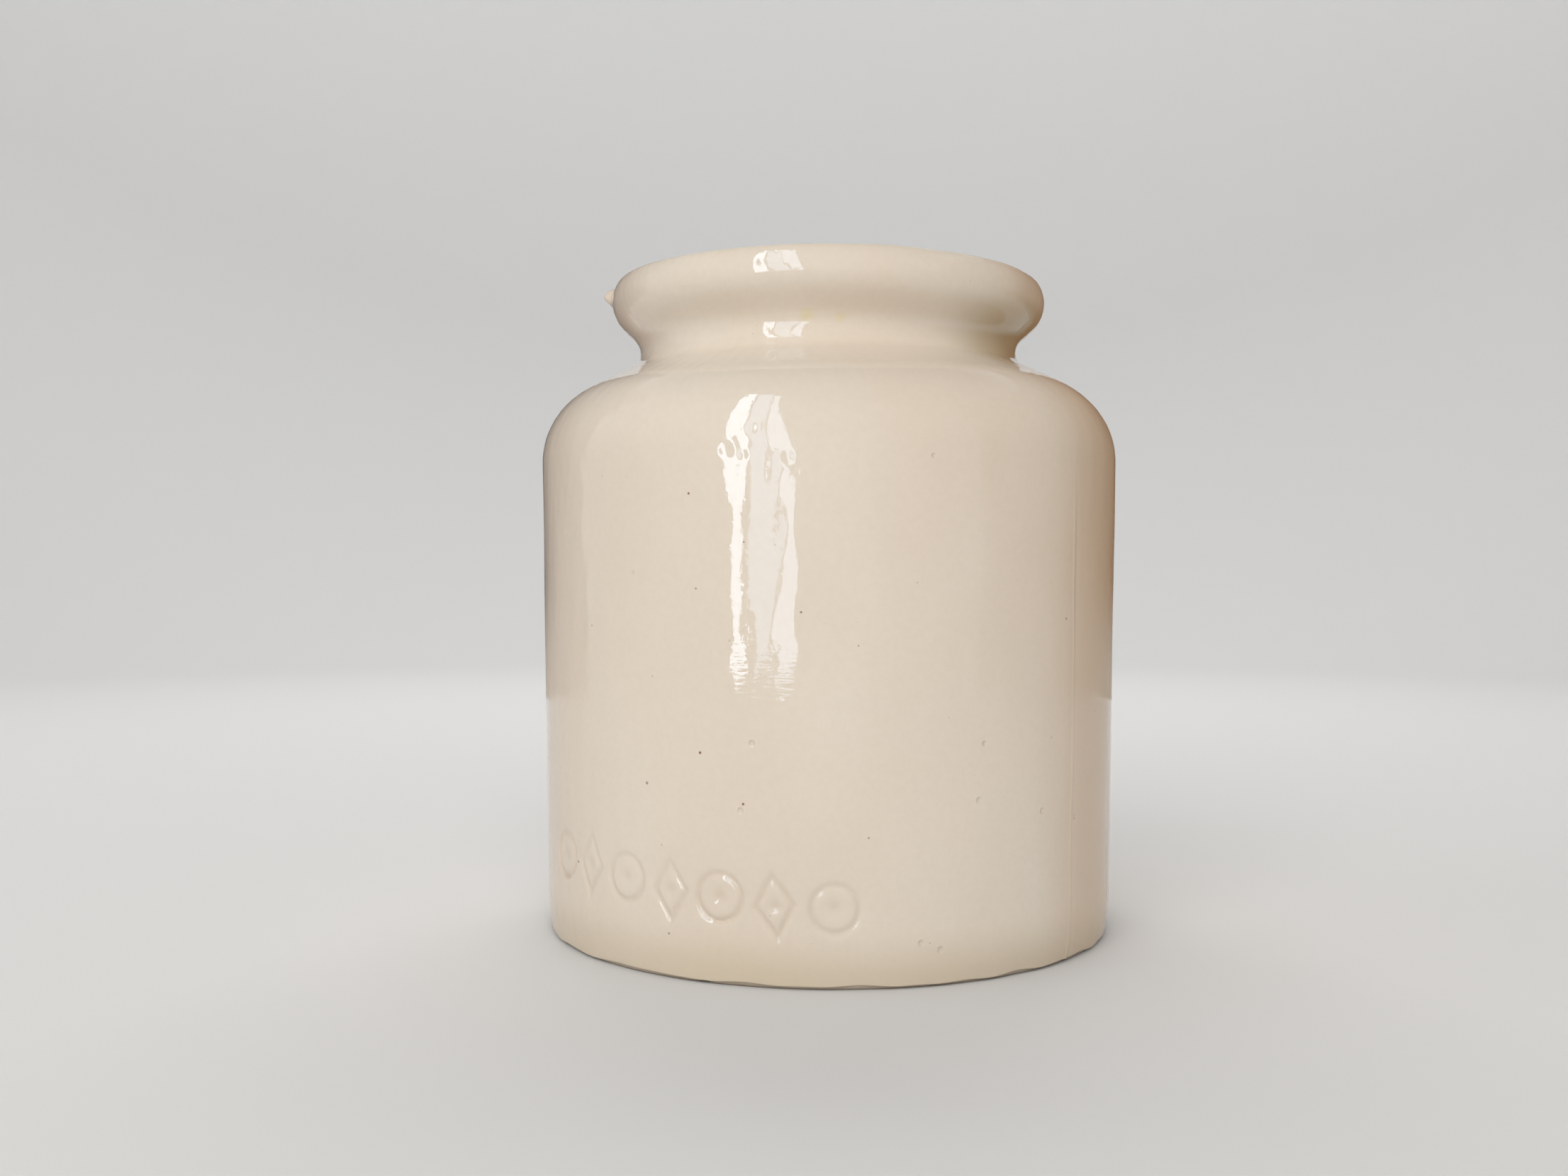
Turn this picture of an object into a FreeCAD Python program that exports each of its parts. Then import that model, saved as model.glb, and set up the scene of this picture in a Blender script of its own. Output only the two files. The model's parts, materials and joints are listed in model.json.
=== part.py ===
"""Open storage jar in glazed stoneware: a straight belly, a rounded shoulder, a drawn-in neck and a flared rim.

Three solids, face to face: the fired clay body, the glaze coat outside it and the glaze lining inside it.
Millimetres, +Z up. Z is the jar's axis, and the origin is the centre of the foot on the surface it stands on.
"""

import FreeCAD
import Part

import math
import os

# Finished sizes, over the glaze
HEIGHT = 115.0
RIM_R = 39.2  # widest part of the flared rim
NECK_R = 34.1  # bottom of the groove under the rim
BELLY_R = 51.6  # widest part of the jar, just under the shoulder
BORE_R = 30.0  # straight throat that a cork fits
INSIDE_R = 47.4  # widest part of the inside
FLOOR = 6.0  # height of the inside floor
GLAZE = 0.35  # thickness of the glaze

# The clay's rounds, cones and slopes. A slope is degrees from level.
LIP_CREST_R = 0.9
LIP_SIDE_R = 4.6
LIP_SIDE_SLOPE = 55.0  # where the crest's round meets the side's
RIM_UNDER_R = 5.4
FLARE_SLOPE = 44.0
NECK_UPPER_R = 4.3
NECK_LOWER_R = 3.9
SHOULDER_SLOPE = 26.0
SHOULDER_R = 14.3
WALL_LEAN = 0.8  # degrees that the belly opens upwards
HEEL_CURVE_R = 48.0
HEEL_LEAN = 9.0  # degrees from upright where the glaze ends
HEEL_EDGE_R = 1.0

# Underside, bare clay
FOOT_WIDTH = 7.0  # of the flat ring that the jar stands on
RECESS_DEPTH = 1.6
RECESS_EDGE_R = 1.2
RECESS_SLOPE = 50.0

# Inside
MOUTH_CREST_R = 1.5
MOUTH_SLOPE = 72.0  # steepest part of the funnel, just inside the lip
MOUTH_LIP_R = 9.0
BORE_ENTRY_R = 5.0
BORE_BOTTOM = 99.3  # height of the throat's lower end
BORE_EXIT_R = 2.4
INSIDE_SHOULDER_R = 10.6
FLOOR_CORNER_R = 8.0

# Headings of an outline, in degrees from +R, turning towards +Z
OUTWARDS, INWARDS, DOWN = 0, 180, 270


def sin(degrees):
    return math.sin(math.radians(degrees))


def cos(degrees):
    return math.cos(math.radians(degrees))


class Outline:
    """A smooth outline in the R-Z plane, drawn like a pen: straight runs and arcs tangent to them."""

    def __init__(self, r, z, heading):
        self.r, self.z, self.heading = r, z, heading
        self.pieces = []

    def run(self, length):
        start = (self.r, self.z)
        self.r += length * cos(self.heading)
        self.z += length * sin(self.heading)
        self.pieces.append(("run", start, (self.r, self.z), self.heading))

    def run_to_r(self, r):
        self.run((r - self.r) / cos(self.heading))

    def run_to_z(self, z):
        self.run((z - self.z) / sin(self.heading))

    def turn(self, radius, heading):
        """An arc to a new heading: to the left if the heading grows, otherwise to the right."""
        side = 1 if heading > self.heading else -1
        first, last = self.heading - 90 * side, heading - 90 * side
        centre = (self.r - radius * cos(first), self.z - radius * sin(first))
        self.pieces.append(("turn", centre, radius, first, last, side))
        self.r, self.z = centre[0] + radius * cos(last), centre[1] + radius * sin(last)
        self.heading = heading

    def s_bend(self, radius, heading, last_radius, last_heading, r):
        """An arc, a straight run and an arc the other way, which ends at radius r from the axis."""
        self.turn(radius, heading)
        side = 1 if last_heading > heading else -1
        self.run_to_r(r - side * last_radius * (sin(last_heading) - sin(heading)))
        self.turn(last_radius, last_heading)

    def edges(self, left=0.0):
        """The outline as edges, moved to its left by that much."""
        made = []
        for kind, *facts in self.pieces:
            if kind == "run":
                start, end, heading = facts
                aside = (left * cos(heading + 90), left * sin(heading + 90))
                start, end = ((p[0] + aside[0], p[1] + aside[1]) for p in (start, end))
                made.append(Part.LineSegment(point(*start), point(*end)).toShape())
            else:
                centre, radius, first, last, side = facts
                places = (first, (first + last) / 2, last)
                made.append(Part.Arc(*(on_circle(centre, radius - side * left, a) for a in places)).toShape())
        return made


def point(r, z):
    return FreeCAD.Vector(r, 0, z)


def on_circle(centre, radius, degrees):
    return point(centre[0] + radius * cos(degrees), centre[1] + radius * sin(degrees))


def outside():
    """The clay's outer surface, from the crest of the lip down to where the glaze ends on the heel."""
    lip_width = LIP_CREST_R * sin(LIP_SIDE_SLOPE) + LIP_SIDE_R * (1 - sin(LIP_SIDE_SLOPE))
    down, lean, heel = DOWN - 360, DOWN - 360 - WALL_LEAN, DOWN - 360 - HEEL_LEAN
    outline = Outline(RIM_R - GLAZE - lip_width, HEIGHT - GLAZE, OUTWARDS)
    outline.turn(LIP_CREST_R, -LIP_SIDE_SLOPE)
    outline.turn(LIP_SIDE_R, down)
    outline.s_bend(RIM_UNDER_R, FLARE_SLOPE - 180, NECK_UPPER_R, down, NECK_R - GLAZE)
    outline.s_bend(NECK_LOWER_R, -SHOULDER_SLOPE, SHOULDER_R, down, BELLY_R - GLAZE)
    outline.turn(SHOULDER_R, lean)
    outline.run_to_z(HEEL_CURVE_R * (cos(lean) - cos(heel)) + HEEL_EDGE_R * (1 + cos(heel)))
    outline.turn(HEEL_CURVE_R, heel)
    return outline


def underside(heel):
    """Bare clay, from the heel's edge round across the foot ring and its recess to the axis."""
    rounds = 2 * RECESS_EDGE_R * (1 - cos(RECESS_SLOPE))
    outline = Outline(heel.r, heel.z, heel.heading)
    outline.turn(HEEL_EDGE_R, INWARDS - 360)
    outline.run(FOOT_WIDTH)
    outline.turn(RECESS_EDGE_R, INWARDS - 360 - RECESS_SLOPE)
    outline.run((RECESS_DEPTH - rounds) / sin(RECESS_SLOPE))
    outline.turn(RECESS_EDGE_R, INWARDS - 360)
    outline.run_to_r(0)
    return outline


def inside(crest):
    """The clay's inner surface, from the crest of the lip down through the throat to the middle of the floor."""
    shoulder, lean = 360 - SHOULDER_SLOPE, DOWN - WALL_LEAN
    outline = Outline(crest.x, crest.z, INWARDS)
    outline.turn(MOUTH_CREST_R, 180 + MOUTH_SLOPE)
    outline.s_bend(MOUTH_LIP_R, 180 + FLARE_SLOPE, BORE_ENTRY_R, DOWN, BORE_R + GLAZE)
    outline.run_to_z(BORE_BOTTOM)
    outline.s_bend(BORE_EXIT_R, shoulder, INSIDE_SHOULDER_R, DOWN, INSIDE_R + GLAZE)
    outline.turn(INSIDE_SHOULDER_R, lean)
    outline.run_to_z(FLOOR - GLAZE + FLOOR_CORNER_R * (1 + cos(lean)))
    outline.turn(FLOOR_CORNER_R, INWARDS)
    outline.run_to_r(0)
    return outline


def first_point(edges):
    return edges[0].valueAt(edges[0].FirstParameter)


def last_point(edges):
    return edges[-1].valueAt(edges[-1].LastParameter)


def joined(start, end):
    return Part.LineSegment(start, end).toShape()


def turned(edges):
    """The solid that a closed outline sweeps round the axis."""
    face = Part.Face(Part.Wire(Part.__sortEdges__(edges)))
    solid = face.revolve(FreeCAD.Vector(0, 0, 0), FreeCAD.Vector(0, 0, 1), 360)
    if not solid.isValid() or len(solid.Solids) != 1:
        raise RuntimeError("an outline did not turn into one valid solid")
    return solid.Solids[0]


def coat(clay, skin):
    """The glaze between the clay's surface and its own, both given as edges from one end to the other."""
    ends = [joined(first_point(clay), first_point(skin)), joined(last_point(clay), last_point(skin))]
    return turned(clay + skin + ends)


def main():
    os.makedirs("parts", exist_ok=True)
    outer = outside()
    under = underside(outer)
    inner = inside(first_point(outer.edges()))
    clay = outer.edges() + under.edges() + inner.edges()
    axis = joined(last_point(under.edges()), last_point(inner.edges()))
    solids = {
        "stoneware_body": turned(clay + [axis]),
        "outer_glaze": coat(outer.edges(), outer.edges(GLAZE)),
        "inner_glaze": coat(inner.edges(), inner.edges(-GLAZE)),
    }
    for name, solid in solids.items():
        solid.exportStep(f"parts/{name}.step")
        box = solid.optimalBoundingBox(False)
        print(f"{name}: {solid.Volume:.0f} mm3, z {box.ZMin:.3f} to {box.ZMax:.3f}, r {box.XMax:.3f}")


main()
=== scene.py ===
"""Looks of the open stoneware jar: three closed meshes in the places of the three CAD solids, their glaze
and clay materials, and a plain studio.

Metres, +Z up. An azimuth is in degrees round the jar's axis: 0 at the front (-Y), positive to the right (+X).
"""

import json
import math

import bpy
import numpy as np
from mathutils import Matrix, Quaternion, Vector


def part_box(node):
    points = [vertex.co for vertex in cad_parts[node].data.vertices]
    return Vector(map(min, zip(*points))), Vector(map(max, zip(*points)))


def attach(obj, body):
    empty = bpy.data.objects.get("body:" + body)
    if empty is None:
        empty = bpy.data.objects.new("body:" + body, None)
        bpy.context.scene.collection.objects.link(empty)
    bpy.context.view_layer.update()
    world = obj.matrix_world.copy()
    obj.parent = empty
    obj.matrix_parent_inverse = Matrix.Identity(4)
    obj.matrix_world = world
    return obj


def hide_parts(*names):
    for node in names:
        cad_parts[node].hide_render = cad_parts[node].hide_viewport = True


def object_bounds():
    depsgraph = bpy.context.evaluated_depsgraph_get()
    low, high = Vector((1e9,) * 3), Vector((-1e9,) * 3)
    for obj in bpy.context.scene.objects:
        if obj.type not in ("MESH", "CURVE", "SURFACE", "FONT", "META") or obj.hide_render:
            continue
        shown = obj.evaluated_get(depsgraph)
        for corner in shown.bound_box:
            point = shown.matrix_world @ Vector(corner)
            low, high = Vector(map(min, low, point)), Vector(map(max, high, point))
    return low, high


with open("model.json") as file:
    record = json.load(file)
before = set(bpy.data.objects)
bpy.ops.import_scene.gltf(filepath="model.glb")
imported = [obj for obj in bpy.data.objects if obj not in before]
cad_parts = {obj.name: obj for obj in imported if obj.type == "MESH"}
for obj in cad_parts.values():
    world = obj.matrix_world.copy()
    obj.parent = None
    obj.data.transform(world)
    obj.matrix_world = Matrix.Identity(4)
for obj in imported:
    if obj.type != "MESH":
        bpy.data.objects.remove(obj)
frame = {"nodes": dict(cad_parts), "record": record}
CAD_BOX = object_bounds()
MM = 0.001

# ---- Sizes, from the frame ----

MOUNTS = {m["name"]: m for m in frame["record"]["mounts"]}


def cad_radii(node, low, high):
    """Distances from the axis of a CAD node's vertices between two heights."""
    points = [v.co for v in frame["nodes"][node].data.vertices]
    return [p.xy.length for p in points if low <= p.z <= high]


HEIGHT = CAD_BOX[1].z
BELLY_R = CAD_BOX[1].x
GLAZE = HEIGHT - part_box("stoneware_body")[1].z
RIM_R = max(cad_radii("outer_glaze", 0.9 * HEIGHT, HEIGHT))
NECK_R = MOUNTS["tie_groove"]["dims"]["r_mm"] * MM
BORE_R = MOUNTS["neck_bore"]["dims"]["r_mm"] * MM
BORE_BOTTOM = MOUNTS["neck_bore"]["pos_m"][2] - MOUNTS["neck_bore"]["dims"]["length_mm"] * MM / 2
INSIDE_R = max(cad_radii("inner_glaze", 0, HEIGHT)) - GLAZE
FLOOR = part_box("inner_glaze")[0].z + GLAZE

# Rounds, cones and slopes of the clay, as in the CAD outline
LIP_CREST_R = 0.9 * MM
LIP_SIDE_R = 4.6 * MM
LIP_SIDE_SLOPE = 55.0
RIM_UNDER_R = 5.4 * MM
FLARE_SLOPE = 44.0
NECK_UPPER_R = 4.3 * MM
NECK_LOWER_R = 3.9 * MM
SHOULDER_SLOPE = 26.0
SHOULDER_R = 14.3 * MM
WALL_LEAN = 0.8
HEEL_CURVE_R = 48.0 * MM
HEEL_LEAN = 9.0
HEEL_EDGE_R = 1.0 * MM
FOOT_WIDTH = 7.0 * MM
RECESS_DEPTH = 1.6 * MM
RECESS_EDGE_R = 1.2 * MM
RECESS_SLOPE = 50.0
MOUTH_CREST_R = 1.5 * MM
MOUTH_SLOPE = 72.0
MOUTH_LIP_R = 9.0 * MM
BORE_ENTRY_R = 5.0 * MM
BORE_EXIT_R = 2.4 * MM
INSIDE_SHOULDER_R = 10.6 * MM
FLOOR_CORNER_R = 8.0 * MM

# Headings of an outline, in degrees from +R, turning towards +Z
OUTWARDS, INWARDS, DOWN = 0, 180, 270


def sin(degrees):
    return np.sin(np.radians(degrees))


def cos(degrees):
    return np.cos(np.radians(degrees))


class Outline:
    """A smooth outline in the R-Z plane, drawn like a pen: straight runs and arcs tangent to them."""

    def __init__(self, r, z, heading):
        self.r, self.z, self.heading = r, z, heading
        self.starts, self.pieces = [0.0], []

    def run(self, length):
        self.pieces.append(("run", self.r, self.z, self.heading))
        self.starts.append(self.starts[-1] + length)
        self.r += length * cos(self.heading)
        self.z += length * sin(self.heading)

    def run_to_r(self, r):
        self.run((r - self.r) / cos(self.heading))

    def run_to_z(self, z):
        self.run((z - self.z) / sin(self.heading))

    def turn(self, radius, heading):
        """An arc to a new heading: to the left if the heading grows, otherwise to the right."""
        side = 1 if heading > self.heading else -1
        first, last = self.heading - 90 * side, heading - 90 * side
        cr, cz = self.r - radius * cos(first), self.z - radius * sin(first)
        self.pieces.append(("turn", cr, cz, radius, first, side))
        self.starts.append(self.starts[-1] + radius * math.radians(abs(last - first)))
        self.r, self.z, self.heading = cr + radius * cos(last), cz + radius * sin(last), heading

    def s_bend(self, radius, heading, last_radius, last_heading, r):
        """An arc, a straight run and an arc the other way, which ends at radius r from the axis."""
        self.turn(radius, heading)
        side = 1 if last_heading > heading else -1
        self.run_to_r(r - side * last_radius * (sin(last_heading) - sin(heading)))
        self.turn(last_radius, last_heading)

    @property
    def length(self):
        return self.starts[-1]

    def at(self, along):
        """Radius, height and the heading of the left-hand normal at distances along the outline."""
        along = np.clip(np.asarray(along, float), 0, self.length)
        which = np.clip(np.searchsorted(self.starts, along, side="right") - 1, 0, len(self.pieces) - 1)
        r, z, normal = (np.zeros(along.shape) for _ in range(3))
        for i, piece in enumerate(self.pieces):
            here = which == i
            done = along[here] - self.starts[i]
            if piece[0] == "run":
                _, r0, z0, heading = piece
                r[here], z[here] = r0 + done * cos(heading), z0 + done * sin(heading)
                normal[here] = heading + 90
            else:
                _, cr, cz, radius, first, side = piece
                angle = first + side * np.degrees(done / radius)
                r[here], z[here] = cr + radius * cos(angle), cz + radius * sin(angle)
                normal[here] = angle if side < 0 else angle + 180
        return r, z, normal


def outside():
    """The clay's outer surface, from the crest of the lip down to where the glaze ends on the heel."""
    lip_width = LIP_CREST_R * sin(LIP_SIDE_SLOPE) + LIP_SIDE_R * (1 - sin(LIP_SIDE_SLOPE))
    down, lean, heel = DOWN - 360, DOWN - 360 - WALL_LEAN, DOWN - 360 - HEEL_LEAN
    outline = Outline(RIM_R - GLAZE - lip_width, HEIGHT - GLAZE, OUTWARDS)
    outline.turn(LIP_CREST_R, -LIP_SIDE_SLOPE)
    outline.turn(LIP_SIDE_R, down)
    outline.s_bend(RIM_UNDER_R, FLARE_SLOPE - 180, NECK_UPPER_R, down, NECK_R - GLAZE)
    outline.s_bend(NECK_LOWER_R, -SHOULDER_SLOPE, SHOULDER_R, down, BELLY_R - GLAZE)
    outline.turn(SHOULDER_R, lean)
    outline.run_to_z(HEEL_CURVE_R * (cos(lean) - cos(heel)) + HEEL_EDGE_R * (1 + cos(heel)))
    outline.turn(HEEL_CURVE_R, heel)
    return outline


def underside(heel):
    """Bare clay, from the heel's edge round across the foot ring and its recess to the axis."""
    rounds = 2 * RECESS_EDGE_R * (1 - cos(RECESS_SLOPE))
    outline = Outline(heel.r, heel.z, heel.heading)
    outline.turn(HEEL_EDGE_R, INWARDS - 360)
    outline.run(FOOT_WIDTH)
    outline.turn(RECESS_EDGE_R, INWARDS - 360 - RECESS_SLOPE)
    outline.run((RECESS_DEPTH - rounds) / sin(RECESS_SLOPE))
    outline.turn(RECESS_EDGE_R, INWARDS - 360)
    outline.run_to_r(0)
    return outline


def inside(outer):
    """The clay's inner surface, from the crest of the lip through the throat to the middle of the floor."""
    shoulder, lean = 360 - SHOULDER_SLOPE, DOWN - WALL_LEAN
    crest_r, crest_z, _ = outer.at(0)
    outline = Outline(float(crest_r), float(crest_z), INWARDS)
    outline.turn(MOUTH_CREST_R, 180 + MOUTH_SLOPE)
    outline.s_bend(MOUTH_LIP_R, 180 + FLARE_SLOPE, BORE_ENTRY_R, DOWN, BORE_R + GLAZE)
    outline.run_to_z(BORE_BOTTOM)
    outline.s_bend(BORE_EXIT_R, shoulder, INSIDE_SHOULDER_R, DOWN, INSIDE_R + GLAZE)
    outline.turn(INSIDE_SHOULDER_R, lean)
    outline.run_to_z(FLOOR - GLAZE + FLOOR_CORNER_R * (1 + cos(lean)))
    outline.turn(FLOOR_CORNER_R, INWARDS)
    outline.run_to_r(0)
    return outline


OUTER = outside()
UNDER = underside(OUTER)
INNER = inside(OUTER)

# ---- Hand-made shape: what the kiln and the potter did to the ideal jar ----

RIM_TILT = 0.0136  # the rim falls this much per metre towards the right
RIM_FROM, RIM_WHOLE = 100 * MM, 110 * MM  # heights between which the tilt and waves of the rim grow
# Lobes, size and the azimuth of a crest
RIM_WAVES = ((2, 0.10 * MM, 20), (3, 0.07 * MM, 200), (5, 0.035 * MM, 75))
OUT_OF_ROUND = ((2, 0.10 * MM, 35), (3, 0.05 * MM, 150))

# Ripples: size, number of waves that add up, their ranges per turn and per metre of height, and a seed
WALL_RIPPLES = (0.011 * MM, 14, (28, 75), (8, 40), 3)
BROAD_RIPPLES = (0.020 * MM, 10, (8, 22), (5, 30), 5)
FINE_RIPPLES = (0.006 * MM, 24, (40, 120), (40, 160), 8)
LINING_RIPPLES = (0.03 * MM, 10, (2, 9), (3, 16), 21)
GLAZE_LINE_RIPPLES = (0.12 * MM, 12, (2, 40), (0, 1), 31)
RIPPLES_TOP = 96 * MM  # the wall's own ripples have faded out here
RIPPLES_FADE = 12 * MM  # and begin to fade this far below
FOOT_FADE = 4 * MM  # ripples and lobes grow from the foot up to this height

SEAMS = (50.5, -129.5)  # where the two halves of the mould met
SEAM_HEIGHT, SEAM_WIDTH, SEAM_TOP, SEAM_FADE = 0.10 * MM, 0.30 * MM, 88 * MM, 30 * MM

STAMP_AZIMUTHS = tuple(range(-59, 2, 10))
STAMP_HEIGHTS = (16.0 * MM, 12.4 * MM)  # centres of the first and the last: the row falls to the right
STAMP_REACH = 5.5 * MM  # from a stamp's centre to its furthest edge
STAMP_DEPTH = 0.34 * MM
STAMP_STROKE = 0.42 * MM
RING_R, RING_DOT_R = 3.6 * MM, 1.0 * MM
LOZENGE_HALF_WIDTH, LOZENGE_HALF_HEIGHT, LOZENGE_DOT_R = 2.9 * MM, 4.6 * MM, 0.85 * MM

NUB = (-87.0, 112.7 * MM)  # azimuth and height of the burr on the rim
NUB_PROUD, NUB_WIDTH, NUB_ABOVE, NUB_BELOW = 1.8 * MM, 1.1 * MM, 1.6 * MM, 0.9 * MM

# Dimples in the shoulder: azimuth, height, radius and depth in mm
DIMPLES = (
    (-17.3, 81.4, 1.5, 0.075), (-14.2, 80.6, 1.0, 0.05), (-6.6, 80.2, 1.3, 0.07), (-3.9, 81.6, 0.9, 0.04),
    (-12.8, 84.6, 1.2, 0.05), (12.5, 80.9, 0.6, 0.04), (-3.4, 78.0, 0.8, 0.05), (-2.8, 75.6, 0.7, 0.04),
)
# Chips in the foot's edge and the seams' notches in it: azimuth, width and depth in mm
FOOT_NICKS = ((-22.5, 0.7, 0.5), (50.5, 0.5, 0.45), (-129.5, 0.5, 0.45), (112, 0.9, 0.3), (-161, 0.6, 0.35))

# Marks in the glaze: azimuth, height in mm, radius in mm, strength
SPECKS = (
    (-22.4, 35.5, 0.32, 0.95), (-33.6, 30.2, 0.38, 0.7), (-14.5, 28.0, 0.30, 0.9), (-54.0, 15.5, 0.35, 0.8),
    (-30.5, 20.8, 0.22, 0.7), (-29.0, 7.2, 0.28, 0.7), (7.0, 23.2, 0.26, 0.6), (-24.3, 75.0, 0.30, 0.9),
    (-23.0, 60.5, 0.24, 0.7), (-4.4, 57.0, 0.24, 0.8), (-48.0, 54.5, 0.26, 0.6), (-38.0, 78.0, 0.22, 0.5),
    (5.2, 52.0, 0.22, 0.6), (21.0, 41.0, 0.22, 0.8), (26.0, 32.0, 0.20, 0.5), (31.5, 29.0, 0.20, 0.5),
    (-54.5, 62.5, 0.20, 0.5), (17.8, 7.0, 0.24, 0.6), (10.5, 90.8, 0.20, 0.8), (-13.0, 88.7, 0.16, 0.8),
)
PITS = (
    (-12.9, 37.2, 0.62, 1.0), (-15.0, 27.0, 0.60, 0.9), (28.0, 36.8, 0.55, 1.0), (27.0, 28.2, 0.65, 1.0),
    (41.5, 25.5, 0.60, 1.0), (51.8, 23.5, 0.50, 0.9), (19.8, 5.8, 0.70, 1.0), (16.2, 7.1, 0.60, 1.0),
    (18.0, 80.5, 0.50, 0.9), (-36.5, 63.0, 0.45, 0.8),
)
STAINS = ((-5.6, 104.4, 1.6, 0.35), (3.4, 104.0, 1.1, 0.35))

# Painted shade on the sides, warm brown on the right and a little pinker on the left: azimuth, cosines where
# the shade begins and is whole, its share and its colour
PAINTED_SIDE_SHADES = ((88, 0.66, 0.95, 0.64, (0.60, 0.42, 0.265)), (-100, 0.60, 0.95, 0.35, (0.66, 0.50, 0.40)))
# The same for painted shade in the groove under the rim on the right, and the heights between which it is
# whole
PAINTED_GROOVE_SHADE = (92, 0.42, 0.90, 0.62, (0.40, 0.29, 0.13))
GROOVE_BAND, GROOVE_FADE = (100 * MM, 107 * MM), 3.5 * MM


def smooth(x):
    x = np.clip(x, 0, 1)
    return x * x * (3 - 2 * x)


def hill(x):
    return np.exp(-x * x)


def ripples(azimuth, z, size, count, round_waves, up_waves, seed):
    """Waves of about that size over the wall, added up from so many plain ones."""
    random = np.random.default_rng(seed)
    total = np.zeros(np.broadcast(azimuth, z).shape)
    for _ in range(count):
        turns = random.integers(*round_waves)
        climbs = random.uniform(*up_waves) * random.choice((-1, 1))
        start = random.uniform(0, 2 * np.pi)
        total += np.cos(np.radians(azimuth) * turns + 2 * np.pi * climbs * z + start)
    return size * (total / math.sqrt(count / 2))


def between(azimuth, centre):
    """Degrees from centre to azimuth, the short way round."""
    return (azimuth - centre + 180) % 360 - 180


def stamp_relief(azimuth, r, z):
    """Depth from 0 to 1 or so of the row of stamps, rings and lozenges by turns, none pressed quite alike."""
    random = np.random.default_rng(11)
    depth = np.zeros(np.broadcast(azimuth, z).shape)
    heights = np.linspace(*STAMP_HEIGHTS, len(STAMP_AZIMUTHS))
    for i, centre in enumerate(STAMP_AZIMUTHS):
        lean = random.uniform(-6, 6)
        drop = random.uniform(-0.5, 0.5) * MM
        firm = random.uniform(0.75, 1.1)
        across = np.radians(between(azimuth, centre + random.uniform(-0.5, 0.5))) * r
        up = z - heights[i] - drop + 0 * across
        across, up = across * cos(lean) + up * sin(lean), up * cos(lean) - across * sin(lean)
        from_centre = np.hypot(across, up)
        if i % 2:
            steep = math.hypot(1 / LOZENGE_HALF_WIDTH, 1 / LOZENGE_HALF_HEIGHT)
            outline = np.abs(across) / LOZENGE_HALF_WIDTH + np.abs(up) / LOZENGE_HALF_HEIGHT - 1
            line = np.abs(outline) / steep
            dot = from_centre / LOZENGE_DOT_R
        else:
            line = np.abs(from_centre - RING_R)
            dot = from_centre / RING_DOT_R
        stroke = np.maximum(hill(line / STAMP_STROKE), 0.8 * hill(dot))
        heavier_below = 1 - 0.25 * np.clip(up / (4 * MM), -1, 1)
        near = from_centre < 7 * MM
        depth = np.maximum(depth, np.where(near, stroke * firm * heavier_below, 0))
    return depth


def skin_offset(azimuth, r, z):
    """How far the outer skin stands off its ideal place, along its normal."""
    on_wall = smooth((RIPPLES_TOP - z) / RIPPLES_FADE)
    above_foot = smooth(z / FOOT_FADE)
    offset = ripples(azimuth, z, *WALL_RIPPLES) * on_wall * above_foot
    offset += ripples(azimuth, z, *BROAD_RIPPLES) * above_foot
    offset += ripples(azimuth, z, *FINE_RIPPLES) * above_foot
    for lobes, size, crest in OUT_OF_ROUND:
        offset += size * cos(lobes * (azimuth - crest)) * above_foot
    for seam in SEAMS:
        wander = 0.12 * MM * np.sin(z / (9 * MM)) + 0.08 * MM * np.sin(z / (3.1 * MM) + 1)
        across = np.radians(between(azimuth, seam)) * r + wander
        strength = smooth((SEAM_TOP - z) / SEAM_FADE) * (0.75 + 0.25 * np.sin(z / (5.5 * MM) + 2))
        offset += SEAM_HEIGHT * strength * hill(across / SEAM_WIDTH)
        offset -= 0.5 * SEAM_HEIGHT * strength * hill((across - 0.9 * MM) / (0.6 * MM))
    offset -= STAMP_DEPTH * stamp_relief(azimuth, r, z)
    for place, height, radius, depth in DIMPLES:
        away = np.hypot(np.radians(between(azimuth, place)) * r, z - height * MM) / (radius * MM)
        offset += depth * MM * (0.6 * hill((away - 1) / 0.35) - hill(away / 0.7))
    nub_across = np.radians(between(azimuth, NUB[0])) * r / NUB_WIDTH
    nub_up = (z - NUB[1]) / np.where(z > NUB[1], NUB_ABOVE, NUB_BELOW)
    on_side = smooth((r - RIM_R + 1.5 * MM) / (1 * MM)) * (z > 0.92 * HEIGHT)
    offset += NUB_PROUD * hill(nub_across) * hill(nub_up) * on_side
    return offset


def lining_offset(azimuth, r, z):
    """How far the lining stands off its ideal place: it meets the skin at the crest, and has rings below."""
    at_crest = smooth((z - 0.9 * HEIGHT) / (0.06 * HEIGHT))
    below = 1 - at_crest
    offset = skin_offset(azimuth, r, z) * at_crest
    offset += ripples(azimuth, z, *LINING_RIPPLES) * below
    rings = 0.035 * MM * np.sin(z / (1.5 * MM) + np.radians(azimuth))
    offset += rings * below * smooth((z - 12 * MM) / (10 * MM))
    return offset


def foot_offset(azimuth, r, z):
    """Turning rings, chips and the two mould notches of the bare foot."""
    rings = 0.018 * MM * np.sin(r / (0.21 * MM)) * (1 + 0 * azimuth)
    offset = rings * smooth((48 * MM - r) / (2 * MM))
    for place, width, depth in FOOT_NICKS:
        across = np.radians(between(azimuth, place)) * r
        offset -= depth * MM * hill(across / (width * MM)) * smooth((r - 46.5 * MM) / (2 * MM))
    return offset


def glaze_line(azimuth):
    """Height by which the glaze's lower edge wanders round the foot."""
    return ripples(azimuth, 0 * azimuth, *GLAZE_LINE_RIPPLES)


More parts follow.
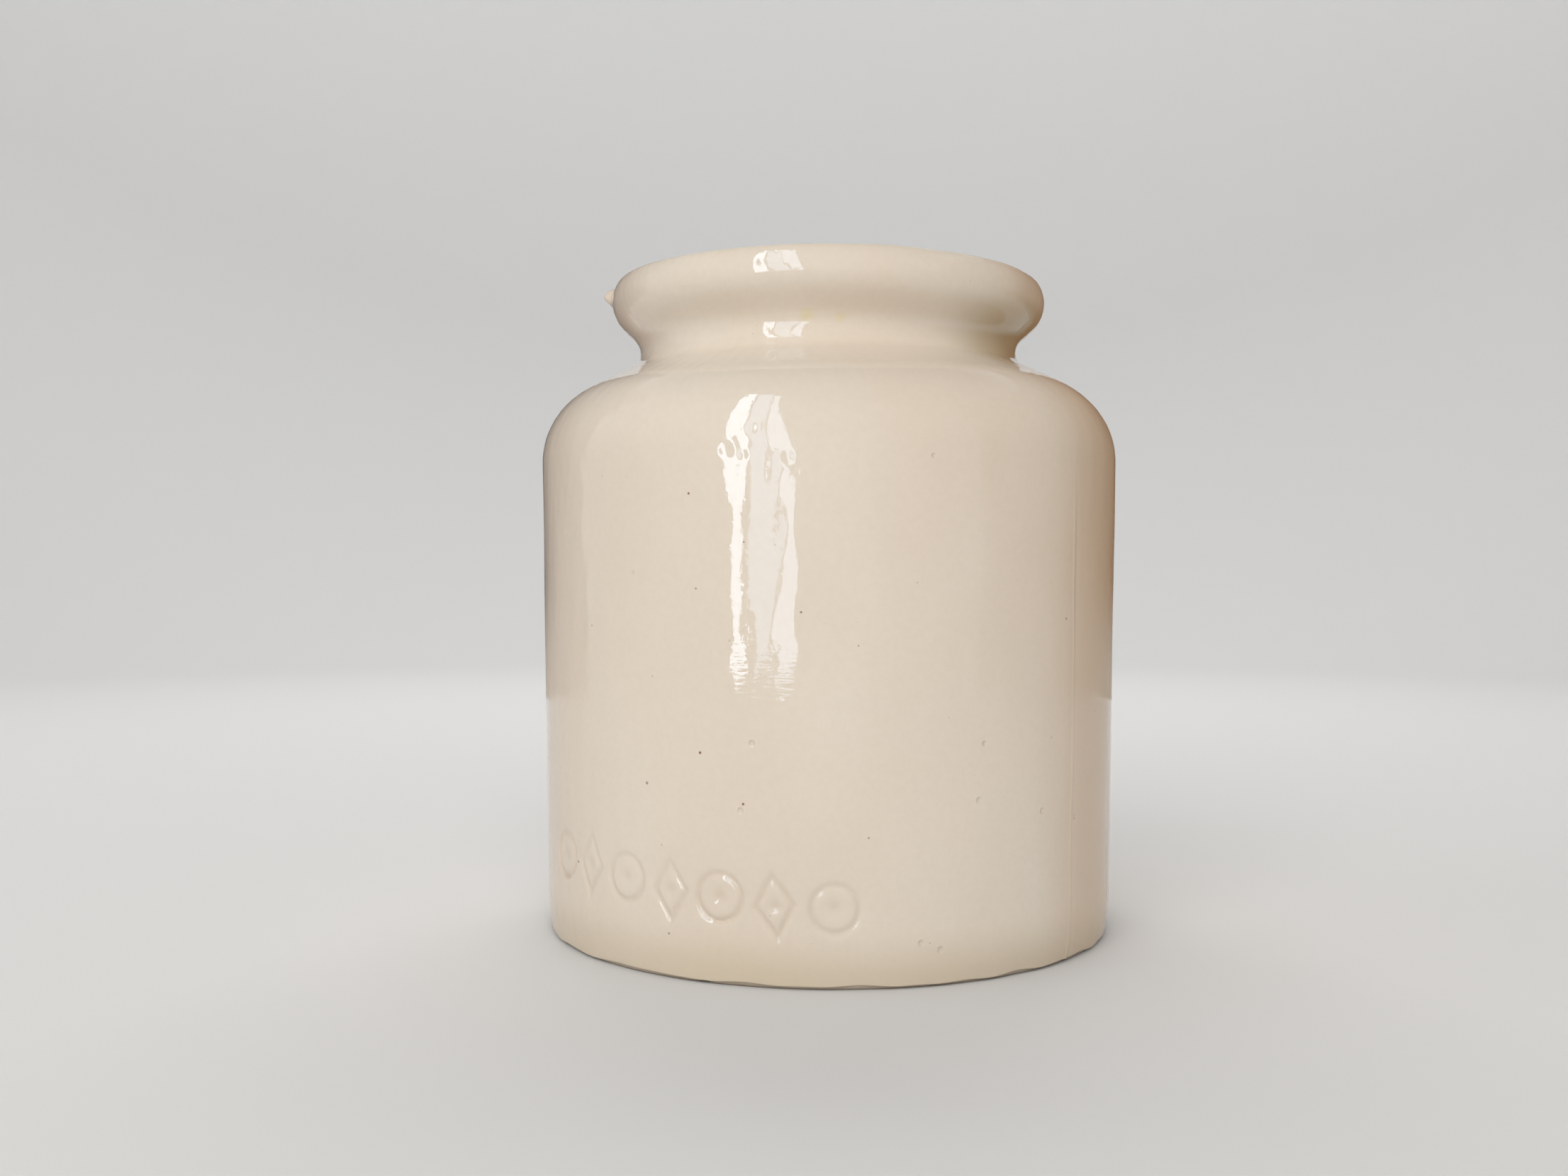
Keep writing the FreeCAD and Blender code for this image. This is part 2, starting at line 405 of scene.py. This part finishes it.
def rim_lift(azimuth, r, z):
    """Change of height from the rim's tilt and waves."""
    share = smooth((z - RIM_FROM) / (RIM_WHOLE - RIM_FROM))
    lift = -RIM_TILT * r * sin(azimuth)
    for lobes, size, crest in RIM_WAVES:
        lift = lift + size * cos(lobes * (azimuth - crest))
    return lift * share


# ---- Meshes ----


def spread(low, high, coarse, closer):
    """Places from low to high, coarse apart, and closer in each (start, end, spacing) of closer."""
    fine = np.linspace(low, high, 40001)
    spacing = np.full(fine.shape, float(coarse))
    for start, end, close in closer:
        away = np.maximum(np.maximum(start - fine, fine - end), 0)
        spacing = np.minimum(spacing, close + (coarse - close) * smooth(away / (8 * close + coarse)))
    steps = np.concatenate(([0], np.cumsum((fine[1] - fine[0]) * 2 / (spacing[1:] + spacing[:-1]))))
    count = int(round(steps[-1]))
    return np.interp(np.linspace(0, steps[-1], count + 1), steps, fine)


SEAM_COLUMNS = [(seam - 0.8, seam + 0.8, 0.16) for seam in SEAMS]
COLUMNS = spread(-180, 180, 1.5, [(-65, 6, 0.36), (NUB[0] - 2, NUB[0] + 2, 0.3), *SEAM_COLUMNS])[:-1]
CREST_ROWS = [(0, 0.1 * MM, 0.06 * MM), (0, 4 * MM, 0.35 * MM)]


def placed(outline, along, left, offset, hem=False):
    """Rows of points round the axis: the outline at those distances, moved left and then by the offset."""
    r, z, normal = (v[:, None] for v in outline.at(along))
    azimuth = COLUMNS[None, :]
    r_ideal, z_ideal = r + left * cos(normal), z + left * sin(normal)
    side = -1 if outline is INNER else 1
    more = side * offset(azimuth, r_ideal, z_ideal)
    r_made, z_made = r_ideal + more * cos(normal), z_ideal + more * sin(normal)
    z_made = z_made + rim_lift(azimuth, r_ideal, z_ideal)
    if hem:
        z_made = z_made + glaze_line(azimuth) * smooth((4 * MM - z_ideal) / (3 * MM))
    return np.stack((r_made * sin(azimuth), -r_made * cos(azimuth), z_made), axis=2)


def build(name, rows, first_pole=None, last_pole=None):
    """A closed mesh of rows round the axis: with no poles its last row joins its first."""
    count, columns = rows.shape[:2]
    points = rows.reshape(-1, 3)
    joined_rows = count if first_pole is None else count - 1
    i, j = np.meshgrid(np.arange(joined_rows), np.arange(columns), indexing="ij")
    i_next, j_next = (i + 1) % count, (j + 1) % columns
    corners = ((i, j), (i_next, j), (i_next, j_next), (i, j_next))
    faces = np.stack([a * columns + b for a, b in corners], axis=-1).reshape(-1, 4).tolist()
    if first_pole is not None:
        points = np.vstack((points, first_pole, last_pole))
        start, end, last_row = count * columns, count * columns + 1, (count - 1) * columns
        ring = [(a, (a + 1) % columns) for a in range(columns)]
        faces += [(start, a, b) for a, b in ring]
        faces += [(end, last_row + b, last_row + a) for a, b in ring]
    mesh = bpy.data.meshes.new(name)
    mesh.from_pydata(points.tolist(), [], faces)
    mesh.shade_smooth()
    mesh.set_sharp_from_angle(angle=math.radians(48))
    made = bpy.data.objects.new(name, mesh)
    bpy.context.scene.collection.objects.link(made)
    return made


def distance_at(outline, height):
    """Distance along an outline that goes down, where it passes a height."""
    along = np.linspace(0, outline.length, 4001)
    return float(np.interp(-height, -outline.at(along)[1], along))


def stamp_band():
    """Where the stamps are, as distances along the outer outline."""
    top, bottom = STAMP_HEIGHTS[0] + STAMP_REACH, STAMP_HEIGHTS[1] - STAMP_REACH
    return [distance_at(OUTER, height) for height in (top, bottom)]


def outer_coat():
    """The outer glaze: its skin, the rolled edge where it stops above the foot, and its back on the clay."""
    length = OUTER.length
    stamps = stamp_band()
    dimples = [distance_at(OUTER, height) for height in (86 * MM, 78 * MM)]
    neck, near_edge = (4 * MM, 30 * MM), (length - 2 * MM, length)
    closer = [(*neck, 1.1 * MM), (*dimples, 0.5 * MM), (*stamps, 0.40 * MM), (*near_edge, 0.35 * MM)]
    skin_rows = spread(0, length, 2.0 * MM, [*CREST_ROWS, *closer])
    skin = placed(OUTER, skin_rows, GLAZE, skin_offset, hem=True)
    edge = skin[-1], placed(OUTER, [length], 0, skin_offset, hem=True)[0]
    bead = []
    for degrees in (30, 60, 90, 120, 150):
        share = (1 + cos(degrees)) / 2
        bead.append(edge[0] * share + edge[1] * (1 - share))
        bead[-1][:, 2] -= GLAZE / 2 * sin(degrees)
    back_rows = spread(0, length, 5 * MM, [(0, 30 * MM, 1.8 * MM), (*stamps, 0.75 * MM)])[::-1]
    back = placed(OUTER, back_rows, 0, skin_offset, hem=True)
    return build("outer_glaze_coat", np.concatenate((skin, np.array(bead), back)))


def on_axis(z):
    return (0, 0, z)


def inner_lining():
    """The glaze lining: its skin from the crest to the middle of the floor, and its back on the clay."""
    to_axis = INNER.length - 0.4 * MM
    skin_rows = spread(0, to_axis, 2 * MM, [*CREST_ROWS, (4 * MM, 34 * MM, 0.9 * MM)])[::-1]
    skin = placed(INNER, skin_rows, -GLAZE, lining_offset)
    back = placed(INNER, spread(0, to_axis, 4 * MM, [(0, 30 * MM, 1.5 * MM)]), 0, lining_offset)
    return build("inner_glaze_lining", np.concatenate((skin, back)), on_axis(FLOOR), on_axis(FLOOR - GLAZE))


def clay_body():
    """The clay: hidden under the coats, and bare on the heel's edge, the foot ring and its recess."""
    inset = 0.01 * MM
    to_axis = 0.4 * MM
    inner_rows = spread(0, INNER.length - to_axis, 5 * MM, [(0, 30 * MM, 1.8 * MM)])[::-1]
    near_edge = (OUTER.length - 3 * MM, OUTER.length, 0.5 * MM)
    closer = [(0, 30 * MM, 1.8 * MM), (*stamp_band(), 0.75 * MM), near_edge]
    outer_rows = spread(0, OUTER.length, 5 * MM, closer)
    under_rows = spread(0, UNDER.length - to_axis, 1.1 * MM, [(0, 3 * MM, 0.25 * MM)])[1:]
    rows = np.concatenate((
        placed(INNER, inner_rows, inset, lining_offset),
        placed(OUTER, outer_rows, -inset, skin_offset),
        placed(UNDER, under_rows, 0, foot_offset),
    ))
    return build("stoneware_clay", rows, on_axis(FLOOR - GLAZE - inset), on_axis(RECESS_DEPTH))


# ---- Materials ----


class Graph:
    """A material's nodes: add() makes one, with values or other nodes' outputs on its inputs."""

    def __init__(self, name):
        self.material = bpy.data.materials.new(name)
        self.material.use_nodes = True
        self.nodes, self.links = self.material.node_tree.nodes, self.material.node_tree.links
        self.surface = self.nodes["Principled BSDF"]
        self.place = self.add("ShaderNodeTexCoord").outputs["Object"]

    def put(self, socket, value):
        if isinstance(value, bpy.types.NodeSocket):
            self.links.new(value, socket)
        elif isinstance(value, bpy.types.Node):
            self.links.new(value.outputs[0], socket)
        else:
            socket.default_value = value

    def add(self, kind, inputs=None, **settings):
        made = self.nodes.new(kind)
        for name, value in settings.items():
            setattr(made, name, value)
        for name, value in (inputs or {}).items():
            self.put(made.inputs[name], value)
        return made

    def math(self, operation, a, b=0.0, c=0.0, clamp=False):
        made = self.add("ShaderNodeMath", {0: a, 1: b}, operation=operation, use_clamp=clamp)
        if len(made.inputs) > 2:
            self.put(made.inputs[2], c)
        return made.outputs[0]

    def noise(self, size, detail=2.0, roughness=0.5, stretch=(1, 1, 1)):
        """Noise from 0 to 1 whose features are about size metres across."""
        place = self.add("ShaderNodeVectorMath", {0: self.place, 1: stretch}, operation="MULTIPLY")
        inputs = {"Vector": place, "Scale": 1 / size, "Detail": detail, "Roughness": roughness}
        return self.add("ShaderNodeTexNoise", inputs).outputs["Fac"]

    def ramp(self, value, low, high, to_low=0.0, to_high=1.0):
        """value from low..high to to_low..to_high, smoothly, and no further."""
        inputs = {0: value, 1: low, 2: high, 3: to_low, 4: to_high}
        return self.add("ShaderNodeMapRange", inputs, interpolation_type="SMOOTHSTEP").outputs[0]

    def mix(self, share, a, b, blend="MIX"):
        made = self.add("ShaderNodeMix", data_type="RGBA", blend_type=blend, clamp_factor=True)
        self.put(made.inputs["Factor"], share)
        colours = [i for i in made.inputs if i.type == "RGBA"]
        self.put(colours[0], a)
        self.put(colours[1], b)
        return next(o for o in made.outputs if o.type == "RGBA")

    def spots(self, cell, share, radius, seed=0.0):
        """Small round spots of about that radius: one in a share of the cells of that size."""
        shift = self.add("ShaderNodeVectorMath", {0: self.place, 1: (seed, seed, seed)}, operation="ADD")
        cells = self.add("ShaderNodeTexVoronoi", {"Vector": shift, "Scale": 1 / cell})
        parts = self.add("ShaderNodeSeparateColor", {0: cells.outputs["Color"]})
        chosen = self.math("LESS_THAN", parts.outputs[0], share)
        reach = self.math("MULTIPLY_ADD", parts.outputs[1], radius / cell, 0.4 * radius / cell)
        inside = self.math("DIVIDE", cells.outputs["Distance"], reach)
        return self.math("MULTIPLY", self.ramp(inside, 0.6, 1.1, 1.0, 0.0), chosen)

    def facing(self, azimuth, low, high):
        """1 on the jar's side at that azimuth and 0 away from it, cloudy between the cosines low and high."""
        across = self.add("ShaderNodeVectorMath", {0: self.place, 1: (1, 1, 0)}, operation="MULTIPLY")
        unit = self.add("ShaderNodeVectorMath", {0: across}, operation="NORMALIZE")
        ahead = (float(sin(azimuth)), -float(cos(azimuth)), 0)
        cosine = self.add("ShaderNodeVectorMath", {0: unit, 1: ahead}, operation="DOT_PRODUCT")
        cloudy = self.math("MULTIPLY_ADD", self.noise(0.028, 2.0, stretch=(1, 1, 0.5)), 0.16, -0.08)
        return self.ramp(self.math("ADD", cosine.outputs["Value"], cloudy), low, high)

    def height(self):
        return self.add("ShaderNodeSeparateXYZ", {0: self.place}).outputs["Z"]

    def band(self, low, high, fade):
        """1 between two heights, and 0 beyond them by more than fade."""
        rise = self.ramp(self.height(), low - fade, low)
        return self.math("MULTIPLY", rise, self.ramp(self.height(), high, high + fade, 1.0, 0.0))

    def marks(self, places):
        """Round marks on the outer skin, from (azimuth, height in mm, radius in mm, strength) of each."""
        total = 0.0
        for azimuth, height, radius, strength in places:
            ends = {0: self.place, 1: on_skin(azimuth, height * MM)}
            away = self.add("ShaderNodeVectorMath", ends, operation="DISTANCE").outputs["Value"]
            mark = self.ramp(away, 0.35 * radius * MM, radius * MM, strength, 0.0)
            total = self.math("MAXIMUM", mark, total)
        return total


def on_skin(azimuth, height):
    """The point of the outer skin at that azimuth and height."""
    along = distance_at(OUTER, height)
    r, _, normal = (float(v) for v in OUTER.at(along))
    r += GLAZE * cos(normal)
    return Vector((r * sin(azimuth), -r * cos(azimuth), height))


def rgb(red, green, blue):
    return (red, green, blue, 1.0)


# Three tones of each coat: cream, pale and flushed
OUTER_CREAMS = rgb(0.735, 0.640, 0.530), rgb(0.755, 0.672, 0.570), rgb(0.735, 0.612, 0.505)
INNER_CREAMS = rgb(0.715, 0.612, 0.485), rgb(0.745, 0.652, 0.535), rgb(0.70, 0.572, 0.445)
GRAIN_TONE, POOLED_TONE = rgb(0.55, 0.44, 0.32), rgb(0.50, 0.36, 0.24)
FAINT_TONE, IRON_TONE, SPECK_TONE = rgb(0.30, 0.22, 0.15), rgb(0.18, 0.065, 0.02), rgb(0.17, 0.06, 0.018)
STAIN_TONE, PIT_TONE = rgb(0.72, 0.60, 0.28), rgb(0.42, 0.30, 0.18)
# By the foot the glaze is darker and browner: partly thin glaze, partly painted shade near the floor
FOOT_THIN_GLAZE_AND_SHADE_TONE = rgb(0.50, 0.40, 0.24)
HEEL_FROM, HEEL_TO = 1.2 * MM, 10 * MM  # heights between which the thin glaze by the foot thickens and its painted shade fades


def cream_tone(g, creams, seed):
    """The glaze's ground: clouded from cream to pale, with flushed streaks."""
    cream, pale, flushed = creams
    cloud = g.ramp(g.noise(0.050 + seed, 2.0), 0.35, 0.65)
    flush = g.ramp(g.noise(0.036 + seed, 1.0, stretch=(1, 1, 0.35)), 0.52, 0.72, 0.0, 0.5)
    return g.mix(flush, g.mix(cloud, cream, pale), flushed)


def painted_shade_tone(g, tone):
    """Painted shade on the outside: darker, warmer sides, a dark groove under the rim on the right, and a
    darker foot, partly thin glaze and partly painted shade.
    """
    # painted shade: the sides darker and warmer
    for azimuth, low, high, share, side_shade_colour in PAINTED_SIDE_SHADES:
        tone = g.mix(g.math("MULTIPLY", g.facing(azimuth, low, high), share), tone, rgb(*side_shade_colour))
    # painted shade under the rim, in the groove on the right
    azimuth, low, high, share, groove_shade_colour = PAINTED_GROOVE_SHADE
    in_groove = g.math("MULTIPLY", g.band(*GROOVE_BAND, GROOVE_FADE), share)
    tone = g.mix(g.math("MULTIPLY", g.facing(azimuth, low, high), in_groove), tone, rgb(*groove_shade_colour))
    # the foot darker and browner: thin glaze there, and painted shade near the floor
    return g.mix(g.ramp(g.height(), HEEL_FROM, HEEL_TO, 0.38, 0.0), tone, FOOT_THIN_GLAZE_AND_SHADE_TONE)


def glaze(name, creams, seed, marked):
    """Glossy ivory glaze: clouded tone, a fine grain, iron specks, pinholes, and pooling in the hollows."""
    g = Graph(name)
    tone = cream_tone(g, creams, seed)
    if marked:
        # painted shade on the sides, under the rim and by the foot
        tone = painted_shade_tone(g, tone)
    tone = g.mix(g.ramp(g.noise(0.0011, 3.0, 0.6), 0.3, 0.7, 0.0, 0.07), tone, GRAIN_TONE)
    pooled = g.add("ShaderNodeAttribute", attribute_name="pooling").outputs["Fac"]
    tone = g.mix(g.math("MULTIPLY", pooled, 0.16, clamp=True), tone, POOLED_TONE)
    tone = g.mix(g.math("MULTIPLY", g.spots(0.0031, 0.30, 0.00016, 0.7), 0.32), tone, FAINT_TONE)
    tone = g.mix(g.math("MULTIPLY", g.spots(0.0085, 0.14, 0.00024, 0.2), 0.75), tone, IRON_TONE)
    pits = g.spots(0.013, 0.12, 0.00028, 0.4)
    holes = 0.0
    if marked:
        tone = g.mix(g.marks(STAINS), tone, STAIN_TONE)
        tone = g.mix(g.marks(SPECKS), tone, SPECK_TONE)
        holes = g.marks(PITS)
    tone = g.mix(g.math("MULTIPLY", g.math("MAXIMUM", pits, holes), 0.10), tone, PIT_TONE)
    g.put(g.surface.inputs["Base Color"], tone)
    g.put(g.surface.inputs["Roughness"], g.ramp(g.noise(0.009, 3.0), 0.3, 0.7, 0.020, 0.034))
    g.put(g.surface.inputs["Normal"], glaze_relief(g, pits, holes))
    g.surface.inputs["IOR"].default_value = 1.52
    return g.material


def glaze_relief(g, pits, holes):
    """Orange peel and level lines in the gloss, with small and large pinholes."""
    peel, level = g.noise(0.0011, 2.0, 0.6), g.noise(0.0045, 2.0, 0.6, stretch=(1, 1, 5.5))
    height = g.math("MULTIPLY_ADD", level, 1.5, peel)
    height = g.math("MULTIPLY_ADD", pits, -9.0, height)
    height = g.math("MULTIPLY_ADD", holes, -15.0, height)
    return g.add("ShaderNodeBump", {"Strength": 1.0, "Distance": 0.000009, "Height": height})


def clay():
    """Bare fired stoneware: buff and matt, toasted in patches, with dark and pale grit."""
    g = Graph("bare stoneware")
    tone = g.mix(g.noise(0.012, 3.0), rgb(0.40, 0.33, 0.26), rgb(0.52, 0.44, 0.35))
    tone = g.mix(g.ramp(g.noise(0.022, 2.0), 0.55, 0.7, 0.0, 0.5), tone, rgb(0.42, 0.25, 0.14))
    tone = g.mix(g.math("MULTIPLY", g.spots(0.0016, 0.35, 0.0002), 0.6), tone, rgb(0.16, 0.11, 0.08))
    tone = g.mix(g.math("MULTIPLY", g.spots(0.0022, 0.25, 0.00026, 0.5), 0.6), tone, rgb(0.66, 0.60, 0.52))
    height = g.math("MULTIPLY_ADD", g.spots(0.0016, 0.4, 0.00024, 0.3), 0.8, g.noise(0.0007, 3.0, 0.65))
    bump = g.add("ShaderNodeBump", {"Strength": 1.0, "Distance": 0.00006, "Height": height})
    g.put(g.surface.inputs["Base Color"], tone)
    g.put(g.surface.inputs["Roughness"], g.ramp(g.noise(0.006, 2.0), 0.3, 0.7, 0.72, 0.92))
    g.put(g.surface.inputs["Normal"], bump)
    g.surface.inputs["Specular IOR Level"].default_value = 0.3
    return g.material


def dress(piece, node, material):
    piece.data.materials.append(material)
    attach(piece, "root")
    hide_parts(node)


def store(piece, name, values):
    """A number for each of the piece's points, for its material."""
    attribute = piece.data.attributes.new(name, "FLOAT", "POINT")
    attribute.data.foreach_set("value", np.asarray(values, np.float32))


def pooling_of(piece):
    """How thick the glaze lies at each point: it fills the stamps and runs a little thicker in the groove."""
    co = np.zeros(len(piece.data.vertices) * 3)
    piece.data.vertices.foreach_get("co", co)
    x, y, z = co.reshape(-1, 3).T
    azimuth, r = np.degrees(np.arctan2(x, -y)), np.hypot(x, y)
    groove_z = MOUNTS["tie_groove"]["pos_m"][2]
    groove = 0.10 * hill((z - groove_z) / (2.5 * MM)) * (r < RIM_R - 1.2 * MM)
    return np.clip(stamp_relief(azimuth, r, z) + groove, 0, 1)


# ---- Studio ----

FLOOR_R, COVE_R, WALL_TOP = 0.80, 0.45, 1.7
PAPER_NEAR, PAPER_FAR = rgb(0.74, 0.735, 0.725), rgb(0.70, 0.70, 0.70)


def studio_floor():
    """A plain pale floor that sweeps up into a plain wall all round."""
    profile = [(FLOOR_R * (i / 8) ** 1.5, 0.0) for i in range(9)]
    profile += [(FLOOR_R + COVE_R * float(sin(a)), COVE_R * float(1 - cos(a))) for a in range(5, 91, 5)]
    profile += [(FLOOR_R + COVE_R, COVE_R + (WALL_TOP - COVE_R) * i / 4) for i in range(1, 5)]
    turns = np.radians(np.arange(0, 360, 2.5))
    columns = len(turns)
    points = [(r * math.sin(a), -r * math.cos(a), z) for r, z in profile[1:] for a in turns]
    faces = []
    for i in range(len(profile) - 2):
        for j in range(columns):
            k = (j + 1) % columns
            faces.append((i * columns + j, i * columns + k, (i + 1) * columns + k, (i + 1) * columns + j))
    points.append((0, 0, 0))
    faces += [(len(points) - 1, (j + 1) % columns, j) for j in range(columns)]
    mesh = bpy.data.meshes.new("studio_floor")
    mesh.from_pydata(points, [], faces)
    mesh.shade_smooth()
    made = bpy.data.objects.new("studio_floor", mesh)
    bpy.context.scene.collection.objects.link(made)
    g = Graph("studio paper")
    away = g.add("ShaderNodeVectorMath", {0: g.place}, operation="LENGTH").outputs["Value"]
    g.put(g.surface.inputs["Base Color"], g.mix(g.ramp(away, 0.25, 1.1), PAPER_NEAR, PAPER_FAR))
    g.surface.inputs["Roughness"].default_value = 0.9
    g.surface.inputs["Specular IOR Level"].default_value = 0.0
    mesh.materials.append(g.material)


def softbox(name, azimuth, distance, bottom, top, width, brightness, colour, faces=None, seen_in_gloss=False):
    """A rectangular light that faces the jar's axis. It either lights the jar or shows in its gloss."""
    data = bpy.data.lights.new(name, "AREA")
    data.shape = "RECTANGLE"
    data.size, data.size_y = width, top - bottom
    data.energy, data.color = brightness * math.pi * width * (top - bottom), colour
    made = bpy.data.objects.new(name, data)
    x, y = distance * float(sin(azimuth)), -distance * float(cos(azimuth))
    made.location = (x, y, (top + bottom) / 2)
    target = Vector((0, 0, made.location.z if faces is None else faces))
    made.rotation_mode = "QUATERNION"
    made.rotation_quaternion = (target - made.location).to_track_quat("-Z", "Y")
    made.visible_camera = False
    made.visible_glossy, made.visible_diffuse = seen_in_gloss, not seen_in_gloss
    bpy.context.scene.collection.objects.link(made)
    return made


WINDOW_AWAY, WINDOW_SPAN = 0.50, (0.002, 1.00)
WINDOW_LEAN = math.radians(7.5)


def window(name, first, last, brightness, colour):
    """A tall strip of the window that the glaze mirrors, between two azimuths at its foot. It leans left."""
    width = WINDOW_AWAY * math.radians(last - first)
    azimuth = (first + last) / 2
    made = softbox(name, azimuth, WINDOW_AWAY, *WINDOW_SPAN, width, brightness, colour, seen_in_gloss=True)
    aside = math.tan(WINDOW_LEAN) * (WINDOW_SPAN[1] - WINDOW_SPAN[0]) / 2
    made.location.x -= aside * float(cos(azimuth))
    made.location.y -= aside * float(sin(azimuth))
    made.rotation_quaternion = made.rotation_quaternion @ Quaternion((0, 0, 1), WINDOW_LEAN)


FLAG_AWAY, FLAG_FOOT, FLAG_TOP = 0.42, 0.008, 0.50
FLAG_FOOT_TONE, FLAG_FOOT_TO = rgb(0.50, 0.46, 0.41), 0.07  # paler from the foot up to that height


def flag(name, first, last, colour):
    """A curved card between two azimuths. It shows in the gloss alone, and hides the pale wall there."""
    turns = np.linspace(first, last, 9)
    feet = [(FLAG_AWAY * float(sin(a)), -FLAG_AWAY * float(cos(a)), FLAG_FOOT) for a in turns]
    tops = [(x, y, FLAG_TOP) for x, y, _ in feet]
    count = len(feet)
    faces = [(i, i + 1, count + i + 1, count + i) for i in range(count - 1)]
    mesh = bpy.data.meshes.new(name)
    mesh.from_pydata(feet + tops, [], faces)
    made = bpy.data.objects.new(name, mesh)
    made.visible_camera = made.visible_shadow = made.visible_diffuse = False
    bpy.context.scene.collection.objects.link(made)
    g = Graph(name)
    raised = g.ramp(g.height(), FLAG_FOOT, FLAG_FOOT_TO)
    g.put(g.surface.inputs["Base Color"], g.mix(raised, FLAG_FOOT_TONE, colour))
    g.surface.inputs["Roughness"].default_value = 0.8
    mesh.materials.append(g.material)


def studio_lights():
    """The window's strips, the soft lights, the cards and the room's own faint light."""
    window("window_left", -34.0, -29.2, 7.7, (0.70, 0.85, 1.0))
    window("window_middle", -26.9, -18.2, 3.6, (0.55, 0.76, 1.0))
    window("window_right", -17.2, -12.0, 5.0, (0.65, 0.80, 1.0))
    softbox("key", -10, 1.00, 0.10, 1.20, 1.1, 2.82, (1.0, 0.985, 0.965), faces=0.08)
    softbox("left_fill", -80, 0.85, 0.05, 0.85, 0.8, 0.36, (0.85, 0.93, 1.0), faces=0.08)
    softbox("back_fill", 180, 0.60, 0.55, 1.05, 0.8, 2.5, (1.0, 0.99, 0.98), faces=0.05)
    # A level panel over the jar: its depth is what softbox takes for its height
    overhead = softbox("overhead", 0, 0.001, 0.90, 2.00, 1.1, 0.30, (1.0, 0.99, 0.97))
    overhead.rotation_quaternion = (1, 0, 0, 0)
    back = softbox("back_wall_light", 180, 0.45, 0.90, 1.30, 1.6, 2.0, (1.0, 0.995, 0.99))
    back.rotation_quaternion = Vector((0, 1, -0.5)).to_track_quat("-Z", "Y")
    flag("brown_card", 56, 160, rgb(0.24, 0.11, 0.04))
    flag("grey_card", -160, -104, rgb(0.10, 0.085, 0.08))
    world = bpy.data.worlds.new("studio air")
    world.use_nodes = True
    world.node_tree.nodes["Background"].inputs["Color"].default_value = rgb(0.97, 0.98, 1.0)
    world.node_tree.nodes["Background"].inputs["Strength"].default_value = 0.10
    bpy.context.scene.world = world


CAMERA_DISTANCE, CAMERA_HEIGHT = 0.2733, 0.0617
CAMERA_PITCH, CAMERA_YAW = -0.28, 1.67
CAMERA_LENS, SENSOR_WIDTH = 34.18, 36.0


def camera():
    data = bpy.data.cameras.new("camera")
    data.lens, data.sensor_width, data.sensor_fit = CAMERA_LENS, SENSOR_WIDTH, "HORIZONTAL"
    data.clip_start = 0.01
    made = bpy.data.objects.new("camera", data)
    made.location = (0, -CAMERA_DISTANCE, CAMERA_HEIGHT)
    made.rotation_euler = (math.radians(90 + CAMERA_PITCH), 0, math.radians(CAMERA_YAW))
    bpy.context.scene.collection.objects.link(made)
    bpy.context.scene.camera = made


camera()
studio_floor()
studio_lights()
bpy.context.scene.view_settings.view_transform = "Standard"

outer = outer_coat()
store(outer, "pooling", pooling_of(outer))
dress(outer, "outer_glaze",
      glaze("outer ivory glaze", OUTER_CREAMS, seed=0.0, marked=True))
inner = inner_lining()
dress(inner, "inner_glaze",
      glaze("inner ivory glaze", INNER_CREAMS, seed=0.004, marked=False))
body = clay_body()
dress(body, "stoneware_body", clay())
